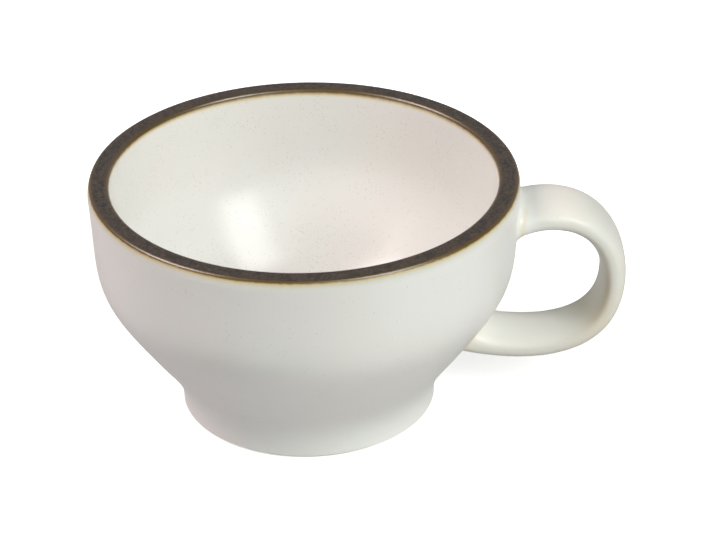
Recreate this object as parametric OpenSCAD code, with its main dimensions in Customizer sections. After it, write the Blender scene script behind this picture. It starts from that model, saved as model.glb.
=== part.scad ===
// Stoneware espresso cup: a footed bowl and a strap handle joined to it with slip,
// a dark iron band on the lip, and a pale glaze inside, outside and under the foot.
// Millimetres. The origin is the centre of the standing ring on the table,
// +Z is up and the handle reaches out along +X.

/* [Bowl] */
// Widest diameter of the glazed cup, just under the lip
rim_d = 80; // [76:1:86]
// Height of the lip above the table
cup_h = 46.7; // [45:0.1:52]
// Thickness of the glazed wall
wall_t = 4; // [3.2:0.1:4.6]
// Lean of the wall under the lip, in degrees from upright
wall_lean = 4.1; // [2:0.1:7]
// Diameter of the flank where it leans in the most
flank_d = 62.7; // [60:0.1:66]
// Height of that place above the table
flank_h = 15.7; // [14.5:0.1:18]
// Lean of the flank there, in degrees from upright
flank_lean = 35; // [30:0.5:40]
// Share of the wall's run that keeps the lean under the lip
wall_fullness = 0.59; // [0.5:0.01:0.64]
// Share of the wall's run that keeps the lean of the flank
flank_fullness = 0.55; // [0.45:0.01:0.6]
// Share of the well's run that keeps the lean of the flank, inside
well_fullness = 0.36; // [0.28:0.01:0.45]
// Share of the well's run that lies level at the middle, inside
floor_fullness = 0.5; // [0.35:0.01:0.6]
// Thickness of the glazed floor
floor_t = 5; // [4:0.1:6]

/* [Lip] */
// Rounding of the outer corner of the lip
lip_out_r = 0.75; // [0.7:0.05:1.2]
// Rounding of the shoulder where the wall draws in under that corner
lip_shoulder_r = 4; // [2:0.1:8]
// Lean of the lip where the shoulder meets the corner, in degrees from upright
lip_lean = 22; // [10:1:24]
// Rounding of the inner corner of the lip
lip_in_r = 0.8; // [0.75:0.05:1.2]
// How far the dark band comes down outside
band_out_h = 0.35; // [0.15:0.05:0.4]
// How far the dark band comes down inside
band_in_h = 0.4; // [0.3:0.05:0.7]

/* [Foot] */
// Diameter of the glazed foot
foot_d = 48; // [44:0.2:52]
// Share of the waist's run that keeps the lean of the flank
waist_fullness = 0.38; // [0.28:0.01:0.45]
// Share of the waist's run that stands upright at the foot
foot_fullness = 0.36; // [0.25:0.01:0.42]
// Height of the upright strip of glaze at the foot
foot_strip_h = 0.3; // [0.2:0.05:1]
// Width of the bare standing ring
ring_w = 4; // [3:0.1:5.5]
// Rounding of the edges of the standing ring
ring_edge_r = 0.45; // [0.3:0.05:0.8]
// Height of the bare strip over those roundings
bare_strip_h = 0.1; // [0.05:0.05:0.4]
// Depth of the recess under the foot
recess_h = 3; // [2.4:0.1:4]
// Rounding at the top of the recess
recess_r = 1.2; // [0.8:0.1:1.6]

/* [Handle] */
// Drop from the lip to the middle of the upper joint
upper_joint_drop = 8.5; // [8:0.1:12]
// Height of the middle of the lower joint above the table
lower_joint_h = 13.6; // [12:0.1:15]
// Reach of the middle of the strap past the widest radius of the cup
loop_out = 17.6; // [16:0.1:21]
// Rise of the loop's outermost place over the mean height of the two joints
loop_rise = 0.4; // [0:0.1:3]
// Climb of the strap as it leaves the upper joint, in degrees
upper_climb = 17; // [8:0.5:20]
// Dip of the strap as it leaves the lower joint, in degrees
lower_dip = 14.5; // [4:0.5:18]
// Share of the upper run that keeps the climb
upper_fullness = 0.77; // [0.5:0.01:0.85]
// Share of the upper run that is upright
upper_bend_fullness = 0.59; // [0.5:0.01:0.9]
// Share of the lower run that is upright
lower_bend_fullness = 1.27; // [0.9:0.01:1.4]
// Share of the lower run that keeps the dip
lower_fullness = 0.44; // [0.36:0.01:0.6]
// Width of the strap at the upper joint
strap_upper_w = 14.2; // [12:0.1:17]
// Width of the strap at the loop's outermost place
strap_bend_w = 12; // [10:0.1:15]
// Width of the strap at the lower joint
strap_lower_w = 13.2; // [11:0.1:15]
// Thickness of the strap near its joints
strap_t = 5.2; // [4:0.1:6]
// Thickness of the strap at the loop's outermost place
strap_bend_t = 4.8; // [3.6:0.1:5.6]
// Squareness of the strap's section: 2 is an ellipse, more is boxier
strap_squareness = 2.6; // [2:0.1:4.5]
// How much the strap thickens at the upper joint, on the side that faces into the loop
upper_flare = 0.9; // [0:0.1:2]
// How much it thickens at the lower joint, on the same side
lower_flare = 1.4; // [0:0.1:2]
// Reach of both flares along the strap
flare_reach = 7; // [4:0.1:9]

/* [Joints and coats] */
// Thickness of the slip between the bowl and the strap
slip_t = 0.8; // [0.6:0.1:1.2]
// Width of the fillet of slip round each joint
fillet_w = 0.7; // [0.4:0.1:1.4]
// Reach of that fillet along the strap
fillet_reach = 2; // [1.2:0.1:3]
// Thickness of every coat of glaze
glaze_t = 0.4; // [0.25:0.05:0.6]

/* [Hidden] */

clay_colour = [0.79, 0.72, 0.62];
slip_colour = [0.70, 0.64, 0.55];
glaze_colour = [0.90, 0.90, 0.86];
band_colour = [0.27, 0.24, 0.21];

rim_r = rim_d / 2;
foot_r = foot_d / 2;
bare_h = ring_edge_r + bare_strip_h;
floor_h = recess_h + floor_t;

corner_steps = 6;
wall_steps = 18;
waist_steps = 14;
well_steps = 18;
strap_steps = 24;
strap_sides = 24;
$fn = 144;

// Points in the cup's half section are [radius, height]
function bezier(a, b, c, d, t) =
    a * pow(1 - t, 3) + b * 3 * t * pow(1 - t, 2) + c * 3 * t * t * (1 - t) + d * pow(t, 3);
function curve(a, b, c, d, steps) = [for (i = [0:steps]) bezier(a, b, c, d, i / steps)];
function arc(centre, radius, from, to, steps) =
    [for (i = [0:steps]) let (a = from + (to - from) * i / steps) centre + radius * [cos(a), sin(a)]];
function rest(list) = [for (i = [1:len(list) - 1]) list[i]];
function stretch(list, from, to) = [for (i = [from:to]) list[i]];
function backward(list) = [for (i = [len(list) - 1:-1:0]) list[i]];
function last(list) = list[len(list) - 1];
function unit(v) = v / norm(v);

// A line that leans by an angle from upright, running down and in
function down_along(lean) = [-sin(lean), -cos(lean)];
// The way out of the wall, square to that line
function out_from(lean) = [cos(lean), -sin(lean)];

// Finished outside, from the bare foot up to the lip
flank = [flank_d / 2, flank_h];
foot_top = [foot_r, bare_h + foot_strip_h];
// The shoulder and the corner of the lip are two arcs that meet at the lip's lean
lip_way = [cos(lip_lean), sin(lip_lean)];
shoulder_centre = [rim_r - lip_shoulder_r, cup_h - lip_out_r - (lip_shoulder_r - lip_out_r) * lip_way[1]];
lip_out_centre = shoulder_centre + (lip_shoulder_r - lip_out_r) * lip_way;
wall_top = shoulder_centre + lip_shoulder_r * out_from(wall_lean);
wall_run = norm(wall_top - flank);
waist_run = norm(flank - foot_top);
waist_line = curve(foot_top, foot_top + [0, foot_fullness * waist_run],
    flank + down_along(flank_lean) * waist_fullness * waist_run, flank, waist_steps);
wall_line = curve(flank, flank - down_along(flank_lean) * flank_fullness * wall_run,
    wall_top + down_along(wall_lean) * wall_fullness * wall_run, wall_top, wall_steps);

// The dark band runs over the lip between these two angles on its corners
band_out_angle = asin(1 - band_out_h / lip_out_r);
band_in_angle = 180 - asin(1 - band_in_h / lip_in_r);
lip_in_centre = [rim_r - wall_t + lip_in_r, cup_h - lip_in_r];
shoulder_line = arc(shoulder_centre, lip_shoulder_r, -wall_lean, lip_lean, corner_steps);
outer_corner = arc(lip_out_centre, lip_out_r, lip_lean, band_out_angle, corner_steps);
band_line = concat(
    rest(arc(lip_out_centre, lip_out_r, band_out_angle, 90, corner_steps)),
    arc(lip_in_centre, lip_in_r, 90, band_in_angle, corner_steps));
inner_corner = arc(lip_in_centre, lip_in_r, band_in_angle, 180 - wall_lean, corner_steps);

// Finished inside, from the lip down to the middle of the floor
inner_top = last(inner_corner);
inner_flank = flank - wall_t * out_from(flank_lean);
inner_run = norm(inner_top - inner_flank);
floor_middle = [0, floor_h];
well_run = norm(inner_flank - floor_middle);
inner_wall_line = curve(inner_top, inner_top + down_along(wall_lean) * wall_fullness * inner_run,
    inner_flank - down_along(flank_lean) * flank_fullness * inner_run, inner_flank, wall_steps);
well_line = curve(inner_flank, inner_flank + down_along(flank_lean) * well_fullness * well_run,
    floor_middle + [floor_fullness * well_run, 0], floor_middle, well_steps);

outside = concat([[foot_r, bare_h]], waist_line, rest(wall_line), rest(shoulder_line),
    rest(outer_corner));
inside = concat(rest(inner_corner), rest(inner_wall_line), rest(well_line));
skin = concat(outside, band_line, inside);
band_from = len(outside) - 1;
band_to = band_from + len(band_line);
skin_end = len(skin) - 1;

// The same line set back into the clay; it ends level at the middle of the floor
function heading(line, i) =
    i == len(line) - 1 ? [-1, 0] : unit(line[i + 1] - line[max(i - 1, 0)]);
function set_back(line, depth) =
    [for (i = [0:len(line) - 1]) let (h = heading(line, i)) line[i] + depth * [-h[1], h[0]]];
clay_skin = set_back(skin, glaze_t);
slip_skin = set_back(skin, glaze_t - slip_t);

// Underside: the recess and its glaze share the centre of their rounding
ring_out_r = foot_r - glaze_t;
ring_in_r = ring_out_r - ring_w;
recess_centre = [ring_in_r - glaze_t - recess_r, recess_h - recess_r];
function recess_line(depth) = concat(
    [[0, recess_h + depth]],
    arc(recess_centre, recess_r + depth, 90, 0, corner_steps),
    [[recess_centre[0] + recess_r + depth, bare_h]]);
ring_line = concat(
    arc([ring_in_r + ring_edge_r, ring_edge_r], ring_edge_r, 180, 270, corner_steps),
    arc([ring_out_r - ring_edge_r, ring_edge_r], ring_edge_r, 270, 360, corner_steps));

bowl_outline = concat(clay_skin, recess_line(glaze_t), ring_line);
base_coat = concat(recess_line(0), backward(recess_line(glaze_t)));
function coat(from, to) =
    concat(stretch(skin, from, to), backward(stretch(clay_skin, from, to)));
// Everything inside one of the outer lines, for trimming what is joined to the bowl
function core(line) = concat(
    stretch(line, 0, band_from), [[0, line[band_from][1]], [0, line[0][1]]]);
// A shell of slip on the clay between two heights
function slip_shell(low, high) = let (
    picks = [for (i = [0:band_from]) if (skin[i][1] > low && skin[i][1] < high) i])
    concat([for (i = picks) slip_skin[i]], backward([for (i = picks) clay_skin[i]]));

// Middle line of the strap, as [distance from the axis, height]
wall_table = [for (p = outside) [p[1], p[0]]];
function wall_at(z) = lookup(z, wall_table);
upper_h = cup_h - upper_joint_drop;
// The bend of the strap's line starts this far under the glaze
root_inset = 1;
upper_root = [wall_at(upper_h) - root_inset, upper_h];
lower_root = [wall_at(lower_joint_h) - root_inset, lower_joint_h];
bend = [rim_r + loop_out, (upper_h + lower_joint_h) / 2 + loop_rise];
upper_way = [cos(upper_climb), sin(upper_climb)];
lower_way = [cos(lower_dip), -sin(lower_dip)];
upper_reach = (bend - upper_root)[0];
lower_reach = (bend - lower_root)[0];
upper_rise = (upper_root - bend)[1];
lower_fall = (bend - lower_root)[1];
// Rings crowd towards the joints, where the fillets are
root_crowding = 1.6;
function crowd(share) = pow(share, root_crowding);
upper_run = [for (i = [0:strap_steps]) bezier(
    upper_root, upper_root + upper_way * upper_fullness * upper_reach,
    bend + [0, upper_bend_fullness * upper_rise], bend, crowd(i / strap_steps))];
lower_run = [for (i = [0:strap_steps]) bezier(
    bend, bend - [0, lower_bend_fullness * lower_fall],
    lower_root + lower_way * lower_fullness * lower_reach, lower_root, 1 - crowd(1 - i / strap_steps))];
// Both ends run on straight into the wall before they are trimmed to it
root_depth = wall_t + strap_t;
strap_line = concat([upper_root - upper_way * root_depth], upper_run, rest(lower_run),
    [lower_root - lower_way * root_depth]);
strap_end = len(strap_line) - 1;
root_rings = 11;

// Sizes of the strap along its line, eased from the joints to the bend
function ease(share) = (1 - cos(180 * min(max(share, 0), 1))) / 2;
function eased(i, at_upper, at_bend, at_lower) = let (share = (i - 1) / strap_steps)
    at_upper + (at_bend - at_upper) * ease(share) + (at_lower - at_bend) * ease(share - 1);
function strap_half_w(i) = eased(i, strap_upper_w, strap_bend_w, strap_lower_w) / 2;
function strap_half_t(i) = eased(i, strap_t, strap_bend_t, strap_t) / 2;

function boxy(v) = sign(v) * pow(abs(v), 2 / strap_squareness);
function way_at(i) =
    unit(strap_line[min(i + 1, strap_end)] - strap_line[max(i - 1, 0)]);
function place(i, across, up) = let (w = way_at(i), p = strap_line[i])
    [p[0] - w[1] * up, across, p[1] + w[0] * up];
// Rises from 0 at a reach from the wall to 1 on the wall
function rise_to_wall(p, reach) = let (gap = norm([p[0], p[1]]) - wall_at(p[2]))
    pow(1 - min(max(gap / reach, 0), 1), 2);
function flare_at(i, p) =
    (i < strap_end / 2 ? upper_flare : lower_flare) * rise_to_wall(p, flare_reach);
function fillet_at(p) = fillet_w * rise_to_wall(p, fillet_reach);
// One ring of the strap's clay, grown by the thickness of a coat; below 0, up faces into the loop
function strap_ring(i, grow) = [for (k = [0:strap_sides - 1]) let (
    a = 360 * k / strap_sides,
    across = boxy(cos(a)) * (strap_half_w(i) - glaze_t),
    plain = boxy(sin(a)) * (strap_half_t(i) - glaze_t),
    up = plain + min(boxy(sin(a)), 0) * flare_at(i, place(i, across, plain)),
    out = fillet_at(place(i, across, up)) + grow)
    place(i, across + out * cos(a), up + out * sin(a))];
function strap_rings(from, to, grow) = [for (i = [from:to]) strap_ring(i, grow)];

function joined(lists) = [for (l = lists) each l];
function side_faces(rings, first) = [for (i = [0:rings - 2]) for (k = [0:strap_sides - 1]) let (
    a = first + i * strap_sides + k,
    b = first + i * strap_sides + (k + 1) % strap_sides)
    each [[a, b + strap_sides, b], [a, a + strap_sides, b + strap_sides]]];
function turned(faces) = [for (f = faces) backward(f)];
function ring_face(first) = [for (k = [0:strap_sides - 1]) first + k];

module loft(rings) {
    end = (len(rings) - 1) * strap_sides;
    polyhedron(
        points = joined(rings),
        faces = concat(side_faces(len(rings), 0), [ring_face(0), backward(ring_face(end))]));
}

module sleeve(outer_rings, inner_rings) {
    n = len(outer_rings);
    inner = n * strap_sides;
    end = inner - strap_sides;
    lid = [for (k = [0:strap_sides - 1]) let (l = (k + 1) % strap_sides)
        each [[k, inner + l, inner + k], [k, l, inner + l]]];
    far_lid = [for (f = lid) backward(f) + [end, end, end]];
    polyhedron(
        points = concat(joined(outer_rings), joined(inner_rings)),
        faces = concat(side_faces(n, 0), turned(side_faces(n, inner)), lid, far_lid));
}

// The seam of every turned piece lies opposite the handle
module turn(outline) rotate([0, 0, 180]) rotate_extrude() polygon(outline);

module strap_roots(grow) {
    loft(strap_rings(0, root_rings, grow));
    loft(strap_rings(strap_end - root_rings, strap_end, grow));
}

module bowl() color(clay_colour) turn(bowl_outline);

module handle() color(clay_colour) difference() {
    loft(strap_rings(0, strap_end, 0));
    turn(core(slip_skin));
}

module upper_slip_joint() color(slip_colour) intersection() {
    loft(strap_rings(0, root_rings, 0));
    turn(slip_shell(bend[1], cup_h));
}

module lower_slip_joint() color(slip_colour) intersection() {
    loft(strap_rings(strap_end - root_rings, strap_end, 0));
    turn(slip_shell(bare_h, bend[1]));
}

module rim_band() color(band_colour) turn(coat(band_from, band_to));

module inner_glaze() color(glaze_colour) turn(coat(band_to, skin_end));

module outer_glaze() color(glaze_colour) difference() {
    turn(coat(0, band_from));
    strap_roots(glaze_t);
}

module handle_glaze() color(glaze_colour) difference() {
    sleeve(strap_rings(0, strap_end, glaze_t), strap_rings(0, strap_end, 0));
    turn(core(clay_skin));
}

module base_glaze() color(glaze_colour) turn(base_coat);

bowl();
handle();
upper_slip_joint();
lower_slip_joint();
rim_band();
inner_glaze();
outer_glaze();
handle_glaze();
base_glaze();
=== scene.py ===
import math

import bpy
import numpy as np
from mathutils import Matrix, Vector


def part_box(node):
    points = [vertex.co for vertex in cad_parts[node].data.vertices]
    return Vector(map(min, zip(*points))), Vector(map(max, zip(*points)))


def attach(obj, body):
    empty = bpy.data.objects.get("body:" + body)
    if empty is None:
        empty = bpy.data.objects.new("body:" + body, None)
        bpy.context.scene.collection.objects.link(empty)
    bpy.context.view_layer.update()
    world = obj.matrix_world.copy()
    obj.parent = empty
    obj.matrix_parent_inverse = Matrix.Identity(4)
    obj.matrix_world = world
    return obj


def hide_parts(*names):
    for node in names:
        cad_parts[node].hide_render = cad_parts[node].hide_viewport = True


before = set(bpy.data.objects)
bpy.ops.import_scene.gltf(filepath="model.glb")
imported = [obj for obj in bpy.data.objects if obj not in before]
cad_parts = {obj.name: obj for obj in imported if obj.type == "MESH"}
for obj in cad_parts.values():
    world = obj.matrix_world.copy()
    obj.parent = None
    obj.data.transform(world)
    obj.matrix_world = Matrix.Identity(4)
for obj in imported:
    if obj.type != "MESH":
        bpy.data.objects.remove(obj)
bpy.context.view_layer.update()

mm = 0.001
turnSteps = 240    # points round each turned piece
sharpAngle = 38    # degrees; edges that turn more are left crisp

# Bowl: sizes in millimetres, leans in degrees from upright, fullness as a share of a run
bowlShape = {
    "rimRadius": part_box("outer_glaze")[1].y / mm,
    "height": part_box("rim_band")[1].z / mm,
    "wall": 4.0,
    "wallLean": 4.1,
    "flankRadius": 31.35,
    "flankHeight": 15.7,
    "flankLean": 35.0,
    "wallFullness": 0.59,
    "flankFullness": 0.55,
    "wellFullness": 0.36,
    "floorFullness": 0.5,
    "floorHeight": 8.0,
    "lipOuterRound": 0.75,
    "lipShoulderRound": 4.0,
    "lipLean": 22.0,
    "lipInnerRound": 0.8,
    "bandOutside": 0.35,
    "bandInside": 0.4,
    "glaze": 0.4,
}

# Foot: the ring it stands on is bare clay, the recess under it is glazed
footShape = {
    "radius": 24.0,
    "waistFullness": 0.38,
    "uprightFullness": 0.36,
    "uprightStrip": 0.3,
    "ringWidth": 4.0,
    "ringEdge": 0.45,
    "bareStrip": 0.1,
    "recessHeight": 3.0,
    "recessRound": 1.2,
}

# Strap handle: its middle line runs from the upper joint round the bend to the lower joint
strapShape = {
    "upperDrop": 8.5,
    "lowerHeight": 13.6,
    "loopOut": 17.6,
    "loopRise": 0.4,
    "upperClimb": 17.0,
    "lowerDip": 14.5,
    "upperFullness": 0.77,
    "upperBendFullness": 0.59,
    "lowerBendFullness": 1.27,
    "lowerFullness": 0.44,
    "upperWidth": 14.2,
    "bendWidth": 12.0,
    "lowerWidth": 13.2,
    "thickness": 5.2,
    "bendThickness": 4.8,
    "squareness": 2.6,
    "upperFlare": 0.9,
    "lowerFlare": 1.4,
    "flareReach": 7.0,
    "rootInset": 1.0,
    "filletWidth": 1.5,
    "filletReach": 1.7,
    "innerFillet": 0.88,    # how much of it is left where the strap faces into the loop
    "coatOverlap": 0.35,    # the coat laps onto the wall's coat by this much, and sinks in to its edge
    "coatSink": 0.03,
    "coatEdge": 0.05,
}


def bezierLine(a, b, c, d, steps):
    shares = [i / steps for i in range(steps + 1)]
    return [a * (1 - t) ** 3 + b * 3 * t * (1 - t) ** 2 + c * 3 * t * t * (1 - t) + d * t ** 3 for t in shares]


def arcLine(centre, radius, start, stop, steps):
    angles = [math.radians(start + (stop - start) * i / steps) for i in range(steps + 1)]
    return [centre + radius * Vector((math.cos(a), math.sin(a))) for a in angles]


def downAlong(lean):
    a = math.radians(lean)
    return Vector((-math.sin(a), -math.cos(a)))


def outFrom(lean):
    a = math.radians(lean)
    return Vector((math.cos(a), -math.sin(a)))


# The finished half section, as (radius, height), from the bare foot over the lip to the middle of the floor
def cupLines():
    b, f = bowlShape, footShape
    bareHeight = f["ringEdge"] + f["bareStrip"]
    flank = Vector((b["flankRadius"], b["flankHeight"]))
    footTop = Vector((f["radius"], bareHeight + f["uprightStrip"]))
    # the lip's shoulder and its corner are two arcs that meet at the lip's lean
    lipWay = outFrom(-b["lipLean"])
    lipReach = b["lipShoulderRound"] - b["lipOuterRound"]
    shoulderCentre = Vector((b["rimRadius"] - b["lipShoulderRound"],
                             b["height"] - b["lipOuterRound"] - lipReach * lipWay.y))
    outCentre = shoulderCentre + lipReach * lipWay
    wallTop = shoulderCentre + b["lipShoulderRound"] * outFrom(b["wallLean"])
    wallRun = (wallTop - flank).length
    waistRun = (flank - footTop).length
    waist = bezierLine(
        footTop, footTop + Vector((0, f["uprightFullness"] * waistRun)),
        flank + downAlong(b["flankLean"]) * f["waistFullness"] * waistRun, flank, 40)
    wall = bezierLine(
        flank, flank - downAlong(b["flankLean"]) * b["flankFullness"] * wallRun,
        wallTop + downAlong(b["wallLean"]) * b["wallFullness"] * wallRun, wallTop, 56)
    bandOutAngle = math.degrees(math.asin(1 - b["bandOutside"] / b["lipOuterRound"]))
    bandInAngle = 180 - math.degrees(math.asin(1 - b["bandInside"] / b["lipInnerRound"]))
    inCentre = Vector((b["rimRadius"] - b["wall"] + b["lipInnerRound"], b["height"] - b["lipInnerRound"]))
    shoulder = arcLine(shoulderCentre, b["lipShoulderRound"], -b["wallLean"], b["lipLean"], 24)
    outerCorner = arcLine(outCentre, b["lipOuterRound"], b["lipLean"], bandOutAngle, 6)
    bandOuter = arcLine(outCentre, b["lipOuterRound"], bandOutAngle, 90, 16)
    bandInner = arcLine(inCentre, b["lipInnerRound"], 90, bandInAngle, 10)
    bandFlat = bezierLine(bandOuter[-1], bandOuter[-1].lerp(bandInner[0], 1 / 3),
                          bandOuter[-1].lerp(bandInner[0], 2 / 3), bandInner[0], 6)
    innerCorner = arcLine(inCentre, b["lipInnerRound"], bandInAngle, 180 - b["wallLean"], 10)
    innerTop = innerCorner[-1]
    innerFlank = flank - b["wall"] * outFrom(b["flankLean"])
    innerRun = (innerTop - innerFlank).length
    floorMiddle = Vector((0, b["floorHeight"]))
    wellRun = (innerFlank - floorMiddle).length
    innerWall = bezierLine(
        innerTop, innerTop + downAlong(b["wallLean"]) * b["wallFullness"] * innerRun,
        innerFlank - downAlong(b["flankLean"]) * b["flankFullness"] * innerRun, innerFlank, 56)
    well = bezierLine(
        innerFlank, innerFlank + downAlong(b["flankLean"]) * b["wellFullness"] * wellRun,
        floorMiddle + Vector((b["floorFullness"] * wellRun, 0)), floorMiddle, 48)
    outside = [Vector((f["radius"], bareHeight))] + waist + wall[1:] + shoulder[1:] + outerCorner[1:]
    band = bandOuter[1:] + bandFlat[1:] + bandInner[1:]
    inside = innerCorner[1:] + innerWall[1:] + well[1:]
    return outside, band, inside


# The same line set back into the clay by the thickness of a coat
def setBack(line, depth):
    moved = []
    for i, point in enumerate(line):
        ahead = Vector((-1, 0)) if i == len(line) - 1 else (line[i + 1] - line[max(i - 1, 0)]).normalized()
        moved.append(point + depth * Vector((-ahead.y, ahead.x)))
    return moved


outside, band, inside = cupLines()
skin = outside + band + inside
claySkin = setBack(skin, bowlShape["glaze"])
bandFrom = len(outside) - 1
bandTo = bandFrom + len(band)
print("cup lines:", len(skin), "points")


def runLengths(line):
    lengths = [0.0]
    for a, b in zip(line, line[1:]):
        lengths.append(lengths[-1] + (b - a).length)
    return lengths


def addPiece(name, points, faces, marks=None):
    mesh = bpy.data.meshes.new(name)
    mesh.from_pydata([tuple(float(c) * mm for c in p) for p in points], [], faces)
    for markName, values in (marks or {}).items():
        mark = mesh.attributes.new(markName, "FLOAT", "POINT")
        mark.data.foreach_set("value", np.asarray(values, np.float32))
    mesh.validate()
    mesh.shade_smooth()
    mesh.set_sharp_from_angle(angle=math.radians(sharpAngle))
    piece = bpy.data.objects.new(name, mesh)
    bpy.context.scene.collection.objects.link(piece)
    return piece


# Turns an outline about the cup's axis; a point on the axis becomes one pole
def turnPiece(name, outline, marks=None):
    points, rows, owner = [], [], []
    for i, p in enumerate(outline):
        count = 1 if p.x < 1e-6 else turnSteps
        rows.append(range(len(points), len(points) + count))
        for s in range(count):
            a = 2 * math.pi * s / turnSteps
            points.append((p.x * math.cos(a), p.x * math.sin(a), p.y))
            owner.append(i)
    faces = []
    for low, high in zip(rows, rows[1:] + rows[:1]):
        for s in range(turnSteps):
            t = s + 1
            corners = [low[s % len(low)], low[t % len(low)], high[t % len(high)], high[s % len(high)]]
            corners = list(dict.fromkeys(corners))
            if len(corners) > 2:
                faces.append(corners)
    spread = {k: [v[i] for i in owner] for k, v in (marks or {}).items()}
    return addPiece(name, points, faces, spread)


def coatOutline(first, last):
    return skin[first:last + 1] + claySkin[first:last + 1][::-1]


# Distance from one end of a coat along the surface, on its outer face and on its face against the clay alike
def edgeDistance(first, last, fromEnd):
    lengths = runLengths(skin[first:last + 1])
    if fromEnd:
        lengths = [lengths[-1] - x for x in lengths]
    return lengths + lengths[::-1]


def recessLine(depth):
    b, f = bowlShape, footShape
    ringIn = f["radius"] - b["glaze"] - f["ringWidth"]
    centre = Vector((ringIn - b["glaze"] - f["recessRound"], f["recessHeight"] - f["recessRound"]))
    low = Vector((centre.x + f["recessRound"] + depth, f["ringEdge"] + f["bareStrip"]))
    top = Vector((0, f["recessHeight"] + depth))
    return [top] + [top.lerp(Vector((centre.x, top.y)), i / 12) for i in range(1, 12)] \
        + arcLine(centre, f["recessRound"] + depth, 90, 0, 10) + [low]


def ringLine():
    f = footShape
    ringOut = f["radius"] - bowlShape["glaze"]
    ringIn = ringOut - f["ringWidth"]
    edge = f["ringEdge"]
    return arcLine(Vector((ringIn + edge, edge)), edge, 180, 270, 6) \
        + arcLine(Vector((ringOut - edge, edge)), edge, 270, 360, 6)


def makeTurnedPieces():
    bowl = turnPiece("stoneware_bowl", claySkin + recessLine(bowlShape["glaze"]) + ringLine())
    lip = turnPiece("dark_lip_band", coatOutline(bandFrom, bandTo), {
        "fromOutside": edgeDistance(bandFrom, bandTo, False), "fromInside": edgeDistance(bandFrom, bandTo, True)})
    outer = turnPiece("outside_glaze", coatOutline(0, bandFrom), {"fromBand": edgeDistance(0, bandFrom, True)})
    inner = turnPiece(
        "inside_glaze", coatOutline(bandTo, len(skin) - 1),
        {"fromBand": edgeDistance(bandTo, len(skin) - 1, False)})
    base = turnPiece("recess_glaze", recessLine(0) + recessLine(bowlShape["glaze"])[::-1])
    return {"bowl": bowl, "rim_band": lip, "outer_glaze": outer, "inner_glaze": inner, "base_glaze": base}


pieces = makeTurnedPieces()
print("turned pieces:", ", ".join(p.name for p in pieces.values()))

wallHeights = np.array([p.y for p in outside])
wallRadii = np.array([p.x for p in outside])
strapStations = 700    # fine steps along the middle line, before the run is divided evenly
strapSides = 96
runRings = 110
filletRings = 14


def wallAt(z):
    return np.interp(z, wallHeights, wallRadii)


def wallNormal(point):
    step = 0.2
    slope = (wallAt(point[2] + step) - wallAt(point[2] - step)) / (2 * step)
    across = math.hypot(point[0], point[1])
    normal = np.array([point[0] / across, point[1] / across, -slope])
    return normal / np.linalg.norm(normal)


def onWall(point, depth):
    across = math.hypot(point[0], point[1])
    radius = wallAt(point[2])
    return np.array([point[0] * radius / across, point[1] * radius / across, point[2]]) - depth * wallNormal(point)


# Middle line of the strap as rows of (x, z), with its direction, half width and half thickness
def strapMiddle():
    b, s = bowlShape, strapShape
    upperZ = b["height"] - s["upperDrop"]
    upperRoot = np.array([wallAt(upperZ) - s["rootInset"], upperZ])
    lowerRoot = np.array([wallAt(s["lowerHeight"]) - s["rootInset"], s["lowerHeight"]])
    bend = np.array([b["rimRadius"] + s["loopOut"], (upperZ + s["lowerHeight"]) / 2 + s["loopRise"]])
    climb, dip = math.radians(s["upperClimb"]), math.radians(s["lowerDip"])
    upperWay = np.array([math.cos(climb), math.sin(climb)])
    lowerWay = np.array([math.cos(dip), -math.sin(dip)])
    upperReach, lowerReach = bend[0] - upperRoot[0], bend[0] - lowerRoot[0]
    t = np.linspace(0, 1, strapStations)[:, None]
    weights = [(1 - t) ** 3, 3 * t * (1 - t) ** 2, 3 * t * t * (1 - t), t ** 3]
    upperCurve = [upperRoot, upperRoot + upperWay * s["upperFullness"] * upperReach,
                  bend + np.array([0, s["upperBendFullness"] * (upperRoot[1] - bend[1])]), bend]
    lowerCurve = [bend, bend - np.array([0, s["lowerBendFullness"] * (bend[1] - lowerRoot[1])]),
                  lowerRoot + lowerWay * s["lowerFullness"] * lowerReach, lowerRoot]
    upper = sum(w * p for w, p in zip(weights, upperCurve))
    lower = sum(w * p for w, p in zip(weights, lowerCurve))
    inward = np.linspace(b["wall"], 0, 60, endpoint=False)[:, None]
    line = np.vstack([upperRoot - upperWay * inward, upper, lower[1:], lowerRoot - lowerWay * inward[::-1]])
    way = np.gradient(line, axis=0)
    way /= np.linalg.norm(way, axis=1)[:, None]
    ease = (1 - np.cos(np.pi * t[:, 0])) / 2
    ends = np.ones(len(inward))

    def eased(upperSize, bendSize, lowerSize):
        return np.concatenate([
            ends * upperSize, upperSize + (bendSize - upperSize) * ease,
            (bendSize + (lowerSize - bendSize) * ease)[1:], ends * lowerSize]) / 2

    halfWidth = eased(s["upperWidth"], s["bendWidth"], s["lowerWidth"])
    halfThick = eased(s["thickness"], s["bendThickness"], s["thickness"])
    return line, way, halfWidth, halfThick


def boxy(v):
    return math.copysign(abs(v) ** (2 / strapShape["squareness"]), v)


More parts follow.
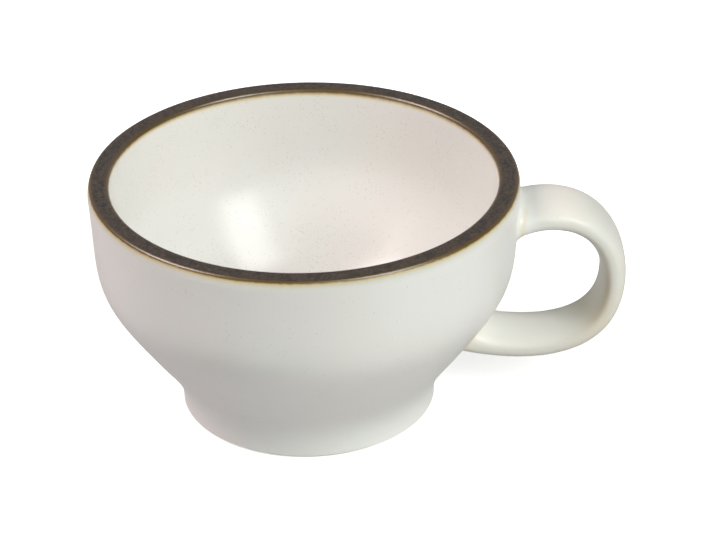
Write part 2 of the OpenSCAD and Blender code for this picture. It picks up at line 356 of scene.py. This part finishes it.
# One lengthwise line of the strap's surface for each side, ending in a fillet on the wall at both joints
def strapLines(grow, depth):
    s, coat = strapShape, bowlShape["glaze"]
    line, way, halfWidth, halfThick = strapMiddle()
    flare = np.where(np.arange(len(line)) < len(line) / 2, s["upperFlare"], s["lowerFlare"])
    lines = []
    for k in range(strapSides):
        a = 2 * math.pi * k / strapSides
        across = boxy(math.cos(a)) * (halfWidth - coat)
        up = boxy(math.sin(a)) * (halfThick - coat)
        clayGap = np.hypot(line[:, 0] - way[:, 1] * up, across) - wallAt(line[:, 1] + way[:, 0] * up)
        # the side that faces into the loop thickens towards the wall
        up = up + min(boxy(math.sin(a)), 0) * flare * (1 - np.clip(clayGap / s["flareReach"], 0, 1)) ** 2
        up = up + grow * math.sin(a)
        across = across + grow * math.cos(a)
        track = np.column_stack([line[:, 0] - way[:, 1] * up, across, line[:, 1] + way[:, 0] * up])
        outward = np.column_stack([-way[:, 1] * math.sin(a), np.full(len(line), math.cos(a)),
                                   way[:, 0] * math.sin(a)])
        gap = np.hypot(track[:, 0], track[:, 1]) - wallAt(track[:, 2]) + depth
        outsideWall = np.nonzero(gap > 0)[0]
        length = np.concatenate([[0], np.cumsum(np.linalg.norm(np.diff(track, axis=0), axis=1))])
        fillet = s["innerFillet"] + (1 - s["innerFillet"]) * (1 + math.sin(a)) / 2
        starts, fillets = [], []
        for end, inner in ((outsideWall[0], -1), (outsideWall[-1], 1)):
            share = gap[end] / (gap[end] - gap[end + inner])
            corner = track[end] + (track[end + inner] - track[end]) * share
            cornerLength = length[end] + (length[end + inner] - length[end]) * share
            top = cornerLength - inner * fillet * s["filletReach"]
            starts.append(top)
            topPoint = np.array([np.interp(top, length, track[:, c]) for c in range(3)])
            normal = wallNormal(corner)
            along = outward[end] - normal * (outward[end] @ normal)
            along /= np.linalg.norm(along)
            footReach = fillet * s["filletWidth"]
            foot = onWall(corner + along * footReach, depth)
            t = np.linspace(0, 1, filletRings)[:, None]
            curve = foot * (1 - t) ** 2 + corner * 2 * t * (1 - t) + topPoint * t * t
            lap = footReach + s["coatOverlap"]
            beyond = onWall(corner + along * lap, depth + s["coatSink"])
            under = onWall(corner + along * (lap + s["coatEdge"]), coat)
            fillets.append(np.vstack([under, beyond, curve]) if depth == 0 else curve)
        stops = np.linspace(starts[0], starts[1], runRings + 2)[1:-1]
        run = np.column_stack([np.interp(stops, length, track[:, c]) for c in range(3)])
        lines.append(np.vstack([fillets[0], run, fillets[1][::-1]]))
    return np.array(lines)


def ringFaces(rings):
    faces = []
    for i in range(rings):
        for k in range(strapSides):
            a, b = i * strapSides, ((i + 1) % rings) * strapSides
            nextSide = (k + 1) % strapSides
            faces.append((a + k, a + nextSide, b + nextSide, b + k))
    return faces


# Where the coat is painted pale: in the fillets, glaze that pools there under a painted highlight line; at the
# upper root, painted light that lifts the shade the lip casts on the strap;
# and on the lower strap's upper face, painted light; and where the glaze breaks thin and tan: in a line beside each
# joint and along the ridge between the front of the strap and its face in the loop; places are millimetres from the
# coat's end and degrees round the section
breakAndLightMarks = {
    # painted light: the lower strap's upper face, below this height in millimetres, is whitened as if lit
    "litLowerStrapHeight": 18.0,
    "litLowerStrapFade": 3.0,
    # painted highlight over pooled glaze: a pale line in each fillet, set where the light catches it
    "poolHighlightPlace": 1.5,
    "poolHighlightSpread": 0.7,
    # painted light: whitens the strap's top near the upper joint, lifting the shade the lip casts there
    "rootLightPlace": 3.7,
    "rootLightSpread": 2.0,
    "rootLightShare": 1.7,
    "jointPlace": 2.9,
    "jointSpread": 0.45,
    "ridgeAngle": 206.0,
    "ridgeSpread": 16.0,
}


def bell(distance, spread):
    return np.exp(-(distance / spread) ** 2)


# The coat on the strap is a sleeve: its outer face, then its face against the clay
def makeHandleCoat():
    b = breakAndLightMarks
    outer = strapLines(bowlShape["glaze"], 0)
    inner = strapLines(0, bowlShape["glaze"])
    rings = np.concatenate([outer.transpose(1, 0, 2), inner.transpose(1, 0, 2)[::-1]])
    angles = np.arange(strapSides) * 360 / strapSides
    ridge = bell(angles - b["ridgeAngle"], b["ridgeSpread"])
    steps = np.linalg.norm(np.diff(outer, axis=1), axis=2)
    fromUpper = np.concatenate([np.zeros((strapSides, 1)), np.cumsum(steps, axis=1)], axis=1)
    fromJoint = np.minimum(fromUpper, fromUpper[:, -1:] - fromUpper)
    hidden = np.zeros(inner.shape[1] * strapSides)
    turns = np.radians(angles)[:, None]
    # painted light on the lower strap's upper face
    litLowerStrap = np.clip(-np.sin(turns), 0, 1) * np.clip(
        (b["litLowerStrapHeight"] - outer[:, :, 2]) / b["litLowerStrapFade"], 0, 1)
    # painted light on the strap near the upper root, against the shade of the lip
    root = b["rootLightShare"] * bell(fromUpper - b["rootLightPlace"], b["rootLightSpread"])
    # the pale layer: pooled glaze and a painted highlight in the fillets, with the painted light at the upper root
    # and on the lower strap's upper face
    pool = np.maximum(np.maximum(bell(fromJoint - b["poolHighlightPlace"], b["poolHighlightSpread"]), litLowerStrap), root)
    joint = np.clip(-np.cos(turns), 0, 1) * bell(fromJoint - b["jointPlace"], b["jointSpread"])
    marks = {"ridge": np.tile(ridge, len(rings))}
    for name, values in (("pool", pool), ("joint", joint)):
        marks[name] = np.concatenate([values.T.ravel(), hidden])
    return addPiece("handle_glaze_coat", rings.reshape(-1, 3), ringFaces(len(rings)), marks)


pieces["handle_glaze"] = makeHandleCoat()
print("handle coat:", len(pieces["handle_glaze"].data.vertices), "points")


def feed(tree, socket, value):
    if isinstance(value, bpy.types.NodeSocket):
        tree.links.new(value, socket)
    else:
        socket.default_value = value


def newMaterial(name, ior, specular=0.5):
    material = bpy.data.materials.new(name)
    material.use_nodes = True
    tree = material.node_tree
    tree.nodes.clear()
    shader = tree.nodes.new("ShaderNodeBsdfPrincipled")
    shader.inputs["IOR"].default_value = ior
    shader.inputs["Specular IOR Level"].default_value = specular
    output = tree.nodes.new("ShaderNodeOutputMaterial")
    tree.links.new(shader.outputs["BSDF"], output.inputs["Surface"])
    place = tree.nodes.new("ShaderNodeTexCoord").outputs["Object"]
    return material, tree, shader, place


# Scales are in features a metre, since the pieces' own coordinates are metres
def noise(tree, place, scale, detail=2.0, roughness=0.5):
    node = tree.nodes.new("ShaderNodeTexNoise")
    node.inputs["Scale"].default_value = scale
    node.inputs["Detail"].default_value = detail
    node.inputs["Roughness"].default_value = roughness
    tree.links.new(place, node.inputs["Vector"])
    return node.outputs["Fac"]


def mark(tree, name):
    node = tree.nodes.new("ShaderNodeAttribute")
    node.attribute_name = name
    return node.outputs["Fac"]


def remap(tree, value, low, high, toLow=0.0, toHigh=1.0, smooth=False):
    node = tree.nodes.new("ShaderNodeMapRange")
    node.interpolation_type = "SMOOTHSTEP" if smooth else "LINEAR"
    for name, x in (("Value", value), ("From Min", low), ("From Max", high), ("To Min", toLow), ("To Max", toHigh)):
        feed(tree, node.inputs[name], x)
    return node.outputs["Result"]


def sums(tree, operation, a, b, clamp=False):
    node = tree.nodes.new("ShaderNodeMath")
    node.operation = operation
    node.use_clamp = clamp
    feed(tree, node.inputs[0], a)
    feed(tree, node.inputs[1], b)
    return node.outputs[0]


def mixColour(tree, share, a, b):
    node = tree.nodes.new("ShaderNodeMix")
    node.data_type = "RGBA"
    feed(tree, node.inputs[0], share)
    feed(tree, node.inputs[6], a)
    feed(tree, node.inputs[7], b)
    return node.outputs[2]


def colourRamp(tree, value, stops):
    node = tree.nodes.new("ShaderNodeValToRGB")
    ramp = node.color_ramp
    while len(ramp.elements) < len(stops):
        ramp.elements.new(1.0)
    for element, (place, colour) in zip(ramp.elements, stops):
        element.position = place
        element.color = colour
    tree.links.new(value, node.inputs["Fac"])
    return node


# A colour as it reads on a screen, 0 to 255, turned to linear light
def screen(r, g, b):
    def one(v):
        v /= 255
        return v / 12.92 if v <= 0.04045 else ((v + 0.055) / 1.055) ** 2.4
    return (one(r), one(g), one(b), 1.0)


def bump(tree, shader, layers):
    normal = None
    for height, distance, strength in layers:
        node = tree.nodes.new("ShaderNodeBump")
        node.inputs["Strength"].default_value = strength
        node.inputs["Distance"].default_value = distance
        tree.links.new(height, node.inputs["Height"])
        if normal is not None:
            tree.links.new(normal, node.inputs["Normal"])
        normal = node.outputs["Normal"]
    tree.links.new(normal, shader.inputs["Normal"])


# Fine iron spots: small balls scattered through space, kept in only some cells and thicker in some places
def specks(tree, place, scale, size, share):
    node = tree.nodes.new("ShaderNodeTexVoronoi")
    node.inputs["Scale"].default_value = scale
    tree.links.new(place, node.inputs["Vector"])
    split = tree.nodes.new("ShaderNodeSeparateColor")
    tree.links.new(node.outputs["Color"], split.inputs["Color"])
    spot = remap(tree, node.outputs["Distance"], size * 0.55, size, 1.0, 0.0, True)
    crowd = remap(tree, noise(tree, place, 170, 3), 0.4, 0.62, 0.15 * share, 1.5 * share)
    kept = sums(tree, "LESS_THAN", split.outputs["Red"], crowd)
    faint = remap(tree, split.outputs["Green"], 0.0, 1.0, 0.35, 1.0)
    return sums(tree, "MULTIPLY", sums(tree, "MULTIPLY", spot, kept), faint)


# The glaze runs thin and brown next to the band, and on the outside a painted shade follows, a little greyer than
# the glaze for about two millimetres; each stop is a distance from it in millimetres and a colour.
# Specks are cells a metre and a spot's share of its cell. Each coat's roughness keeps to one side of 0.274, where
# the denoiser changes its way and would leave patches
glazeLook = {
    "ior": 1.5,
    "pale": screen(230, 231, 226),
    "warm": screen(231, 228, 223),
    "strapPale": screen(226, 226, 218),
    "strapWarm": screen(227, 222, 211),
    "strapOutward": (0.046, 0.056),    # metres from the axis where the breaks begin and where they are full
    "strapLow": (0.026, 0.014),
    "strapShares": {"ridge": 0.75, "low": 0.8, "pool": 0.5, "joint": 0.8},
    "speck": screen(150, 138, 122),
    "white": screen(243, 243, 239),
    "cream": screen(234, 218, 188),
    "tan": screen(186, 160, 128),
    # painted shade: from about 0.7 mm on, these stops stay greyer than the glaze, darkening the lip's shoulder
    "outerBleedAndShade": [
        (0.0, screen(104, 84, 44)), (0.12, screen(140, 118, 70)), (0.26, screen(190, 172, 124)),
        (0.46, screen(208, 197, 163)), (0.7, screen(211, 205, 188)), (1.0, screen(217, 216, 206)),
        (1.5, screen(223, 224, 215)), (2.3, screen(230, 231, 226))],
    "innerBleed": [
        (0.0, screen(88, 74, 48)), (0.18, screen(112, 95, 62)), (0.4, screen(168, 150, 116)),
        (0.58, screen(204, 187, 152)), (0.8, screen(224, 211, 182)), (1.4, screen(230, 229, 222))],
    "specks": ((900, 0.15), (1700, 0.3)),
    "speckStrength": 0.25,
    # painted bounce light: the outside glaze is whitened towards the foot, as though lit by the table
    "footBounceLight": (0.003, 0.011, 0.6),    # all of it below the first height in metres, none above the second
    "coats": {
        "outside": {"bleedAndShade": "outerBleedAndShade", "specks": 0.12, "sheen": 0.5, "roughness": (0.285, 0.35)},
        "inside": {"bleedAndShade": "innerBleed", "specks": 0.65, "sheen": 0.42, "roughness": (0.235, 0.268)},
        "handle": {"specks": 0.12, "sheen": 0.36, "roughness": (0.31, 0.38)},
        "recess": {"specks": 0.12, "sheen": 0.5, "roughness": (0.285, 0.35)},
    },
}


def separate(tree, place, axis):
    node = tree.nodes.new("ShaderNodeSeparateXYZ")
    tree.links.new(place, node.inputs["Vector"])
    return node.outputs[axis]


# the outer ramp holds the iron's brown edge and a painted shade on the lip's shoulder; the inner ramp is the iron's
# edge alone
def addBleedAndShade(tree, place, colour, stops):
    reach = stops[-1][0]
    drift = remap(tree, noise(tree, place, 30, 2), 0.3, 0.7, -0.1, 0.12)
    wobble = remap(tree, noise(tree, place, 900, 3), 0.3, 0.7, -0.05, 0.05)
    distance = sums(tree, "ADD", sums(tree, "ADD", mark(tree, "fromBand"), drift), wobble)
    bleedAndShade = colourRamp(tree, remap(tree, distance, 0.0, reach), [(d / reach, c) for d, c in stops])
    fade = remap(tree, distance, reach * 0.5, reach, 1.0, 0.0, True)
    return mixColour(tree, fade, colour, bleedAndShade.outputs["Color"])


def addStrapBreaksAndLight(tree, place, colour):
    look = glazeLook
    patches = remap(tree, noise(tree, place, 85, 2), 0.3, 0.7, 0.35, 1.0)
    outward = remap(tree, separate(tree, place, "X"), *look["strapOutward"])
    ridge = sums(tree, "MULTIPLY", sums(tree, "MULTIPLY", mark(tree, "ridge"), outward), patches)
    low = sums(tree, "MULTIPLY", remap(tree, separate(tree, place, "Z"), *look["strapLow"]), outward)
    low = sums(tree, "MULTIPLY", low, patches)
    joint = sums(tree, "MULTIPLY", mark(tree, "joint"), patches)
    # the pale layer is painted light and highlight over pooled glaze; the tan, the cream and the joint line are the
    # glaze's own breaks
    layers = {"ridge": (ridge, "tan"), "low": (low, "cream"), "pool": (mark(tree, "pool"), "white"),
              "joint": (joint, "cream")}
    for name, (amount, tint) in layers.items():
        share = sums(tree, "MULTIPLY", amount, look["strapShares"][name])
        colour = mixColour(tree, share, colour, look[tint])
    return colour


def makePaleGlaze(coat):
    look = glazeLook
    finish = look["coats"][coat]
    material, tree, shader, place = newMaterial("satin_glaze_" + coat, look["ior"], finish["sheen"])
    drift = remap(tree, noise(tree, place, 38, 3), 0.35, 0.7)
    ends = ("strapPale", "strapWarm") if coat == "handle" else ("pale", "warm")
    colour = mixColour(tree, drift, look[ends[0]], look[ends[1]])
    sparse, close = (specks(tree, place, scale, size, finish["specks"]) for scale, size in look["specks"])
    spots = sums(tree, "ADD", sparse, close, True)
    colour = mixColour(tree, sums(tree, "MULTIPLY", spots, look["speckStrength"]), colour, look["speck"])
    if coat == "handle":
        colour = addStrapBreaksAndLight(tree, place, colour)
    if coat == "outside":    # painted bounce light: whiter towards the foot, where the table's light falls back on it
        low, high, most = look["footBounceLight"]
        footLight = remap(tree, separate(tree, place, "Z"), low, high, most, 0.0, True)
        colour = mixColour(tree, footLight, colour, look["white"])
    if "bleedAndShade" in finish:
        colour = addBleedAndShade(tree, place, colour, look[finish["bleedAndShade"]])
    tree.links.new(colour, shader.inputs["Base Color"])
    rough = remap(tree, noise(tree, place, 240, 3), 0.3, 0.7, *finish["roughness"])
    tree.links.new(rough, shader.inputs["Roughness"])
    bump(tree, shader, [
        (noise(tree, place, 130, 2), 0.00012, 0.35),
        (noise(tree, place, 1900, 3), 0.00002, 0.5)])
    return material


# The band turns brown towards the glaze on both its sides, within a reach in millimetres
bandLook = {
    "ior": 1.85,
    "rustShare": 0.4,
    "brownShare": 0.9,
    "iron": screen(79, 65, 52),
    "dark": screen(10, 8, 7),
    "rust": screen(78, 61, 42),
    "brown": screen(94, 76, 42),
    "outsideReach": 1.0,
    "insideReach": 1.1,
    "sheen": 0.44,
    "roughness": (0.28, 0.36),
}


def makeIronBand():
    look = bandLook
    material, tree, shader, place = newMaterial("iron_brown_band", look["ior"], look["sheen"])
    grain = remap(tree, noise(tree, place, 2000, 4, 0.7), 0.42, 0.6)
    colour = mixColour(tree, grain, look["dark"], look["iron"])
    rust = remap(tree, noise(tree, place, 420, 4), 0.5, 0.75)
    colour = mixColour(tree, sums(tree, "MULTIPLY", rust, look["rustShare"]), colour, look["rust"])
    for side, reach in (("fromOutside", look["outsideReach"]), ("fromInside", look["insideReach"])):
        margin = remap(tree, mark(tree, side), 0.0, reach, look["brownShare"], 0.0, True)
        colour = mixColour(tree, margin, colour, look["brown"])
    tree.links.new(colour, shader.inputs["Base Color"])
    rough = remap(tree, noise(tree, place, 1200, 4), 0.3, 0.7, *look["roughness"])
    tree.links.new(rough, shader.inputs["Roughness"])
    bump(tree, shader, [
        (noise(tree, place, 260, 2), 0.00012, 0.35),
        (noise(tree, place, 1600, 4, 0.6), 0.00007, 0.5)])
    return material


clayLook = {
    "buff": screen(206, 190, 164),
    "grey": screen(178, 165, 146),
    "iron": screen(112, 86, 62),
    "roughness": (0.8, 0.95),
}


def makeClay(name, grain):
    look = clayLook
    material, tree, shader, place = newMaterial(name, 1.45, 0.25)
    colour = mixColour(tree, remap(tree, noise(tree, place, 210, 5, 0.6), 0.3, 0.7), look["buff"], look["grey"])
    colour = mixColour(tree, sums(tree, "MULTIPLY", specks(tree, place, 900, 0.25, 0.4), 0.7), colour, look["iron"])
    tree.links.new(colour, shader.inputs["Base Color"])
    rough = remap(tree, noise(tree, place, 800, 3), 0.3, 0.7, *look["roughness"])
    tree.links.new(rough, shader.inputs["Roughness"])
    bump(tree, shader, [(noise(tree, place, grain, 5, 0.7), 0.00006, 0.8)])
    return material


def dress():
    finishes = {
        "bowl": (makeClay("bare_stoneware", 1500), "stoneware"),
        "rim_band": (makeIronBand(), "iron_band"),
        "outer_glaze": (makePaleGlaze("outside"), "pale_glaze"),
        "inner_glaze": (makePaleGlaze("inside"), "pale_glaze"),
        "handle_glaze": (makePaleGlaze("handle"), "pale_glaze"),
        "base_glaze": (makePaleGlaze("recess"), "pale_glaze"),
    }
    for node, (material, slot) in finishes.items():
        piece = pieces[node]
        piece.data.materials.append(material)
        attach(piece, "root")
        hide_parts(node)
    slip = makeClay("joint_slip", 2600)
    for node, material in (("handle", finishes["bowl"][0]), ("upper_slip_joint", slip), ("lower_slip_joint", slip)):
        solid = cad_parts[node]
        solid.data.materials.clear()
        solid.data.materials.append(material)


dress()
print("finishes:", ", ".join(m.name for m in bpy.data.materials))

# Floor: the paper reads white, and gives back the softer light of a grey table
stageLook = {
    "paper": screen(250, 250, 249),
    "grain": screen(242, 242, 240),
    "paperGlow": 0.62,
    "table": screen(159, 159, 160),
    "tableGlow": 0.214,
    "size": 6.0,
    "sweepDistance": 1.1,
    "sweepRadius": 0.5,
}


# A pale sheet: flat under the cup, swept up behind it
def makeFloor():
    look = stageLook
    half = look["size"] / 2
    radius = look["sweepRadius"]
    bend = [(look["sweepDistance"] + radius * math.sin(a), radius * (1 - math.cos(a)))
            for a in (math.pi / 2 * i / 24 for i in range(25))]
    line = [(-half, 0.0)] + bend + [(bend[-1][0], half)]
    points = [(x, y, z) for y, z in line for x in (-half, half)]
    faces = [(2 * i, 2 * i + 1, 2 * i + 3, 2 * i + 2) for i in range(len(line) - 1)]
    mesh = bpy.data.meshes.new("pale_floor")
    mesh.from_pydata(points, [], faces)
    mesh.shade_smooth()
    floor = bpy.data.objects.new("pale_floor", mesh)
    bpy.context.scene.collection.objects.link(floor)
    material, tree, paper, place = newMaterial("pale_paper", 1.4, 0.1)
    grain = remap(tree, noise(tree, place, 900, 3), 0.3, 0.7)
    tree.links.new(mixColour(tree, grain, look["paper"], look["grain"]), paper.inputs["Base Color"])
    table = tree.nodes.new("ShaderNodeBsdfPrincipled")
    table.inputs["Base Color"].default_value = look["table"]
    for shader, glow in ((paper, look["paperGlow"]), (table, look["tableGlow"])):
        shader.inputs["Roughness"].default_value = 0.9
        shader.inputs["Emission Color"].default_value = (1.0, 1.0, 1.0, 1.0)
        shader.inputs["Emission Strength"].default_value = glow
    seen = tree.nodes.new("ShaderNodeMixShader")
    tree.links.new(tree.nodes.new("ShaderNodeLightPath").outputs["Is Camera Ray"], seen.inputs[0])
    tree.links.new(table.outputs["BSDF"], seen.inputs[1])
    tree.links.new(paper.outputs["BSDF"], seen.inputs[2])
    output = next(n for n in tree.nodes if n.type == "OUTPUT_MATERIAL")
    tree.links.new(seen.outputs["Shader"], output.inputs["Surface"])
    mesh.materials.append(material)
    return floor


makeFloor()

# Lights: where each soft box hangs, as azimuth and height in degrees seen from the cup, and its light; the low
# one only fills, so it shows in no reflection
lightPlan = {
    "key": {"azimuth": -41, "height": 41.5, "distance": 0.9, "size": (0.38, 0.57), "power": 5.6,
            "colour": (1.0, 0.99, 0.99)},
    "front": {"azimuth": -70, "height": 38, "distance": 0.9, "size": (0.5, 0.6), "power": 1.15,
              "colour": (0.75, 1.0, 0.96)},
    "low": {"azimuth": -40, "height": 10, "distance": 0.9, "size": (0.5, 0.25), "power": 0.84,
            "colour": (1.0, 0.99, 0.8), "reflected": False},
    "left": {"azimuth": 182, "height": 46, "distance": 0.9, "size": (0.45, 0.45), "power": 6.35,
             "colour": (1.0, 0.863, 0.862)},
}


def addSoftBox(name, plan):
    light = bpy.data.lights.new(name, "AREA")
    light.shape = "RECTANGLE"
    light.size, light.size_y = plan["size"]
    light.energy = plan["power"]
    light.color = plan["colour"]
    lamp = bpy.data.objects.new(name, light)
    a, h = math.radians(plan["azimuth"]), math.radians(plan["height"])
    toward = Vector((math.cos(a) * math.cos(h), math.sin(a) * math.cos(h), math.sin(h)))
    aim = Vector((0, 0, bowlShape["height"] * mm / 2))
    lamp.location = aim + toward * plan["distance"]
    lamp.rotation_euler = toward.to_track_quat("Z", "Y").to_euler()
    lamp.visible_glossy = plan.get("reflected", True)
    bpy.context.scene.collection.objects.link(lamp)


def lightStudio():
    for name, plan in lightPlan.items():
        addSoftBox("softbox_" + name, plan)
    world = bpy.data.worlds.new("studio")
    world.use_nodes = True
    world.node_tree.nodes["Background"].inputs["Color"].default_value = (1.0, 1.0, 1.0, 1.0)
    world.node_tree.nodes["Background"].inputs["Strength"].default_value = 0.02
    bpy.context.scene.world = world
    bpy.context.scene.view_settings.view_transform = "Standard"


lightStudio()
print("lights:", ", ".join(lightPlan))

# Camera: millimetres and degrees; the focal length is in pixels of a picture 716 wide
photoView = {
    "distance": 560.0,
    "elevation": 29.519,
    "roll": -0.848,
    "focalPixels": 2979.1,
    "pictureWidth": 716,
    "aim": (9.737, 0.0, 26.411),
}


def makeCamera():
    v = photoView
    e, roll = math.radians(v["elevation"]), math.radians(v["roll"])
    back = Vector((0, -math.cos(e), math.sin(e)))
    right = Vector((1, 0, 0))
    up = back.cross(right)
    tiltedRight = right * math.cos(roll) + up * math.sin(roll)
    tiltedUp = -right * math.sin(roll) + up * math.cos(roll)
    data = bpy.data.cameras.new("photo_camera")
    data.sensor_fit = "HORIZONTAL"
    data.sensor_width = 36
    data.lens = v["focalPixels"] / v["pictureWidth"] * data.sensor_width
    data.clip_start = 0.01
    camera = bpy.data.objects.new("photo_camera", data)
    turn = Matrix((tiltedRight, tiltedUp, back)).transposed().to_4x4()
    camera.matrix_world = Matrix.Translation((Vector(v["aim"]) + back * v["distance"]) * mm) @ turn
    bpy.context.scene.collection.objects.link(camera)
    bpy.context.scene.camera = camera


makeCamera()
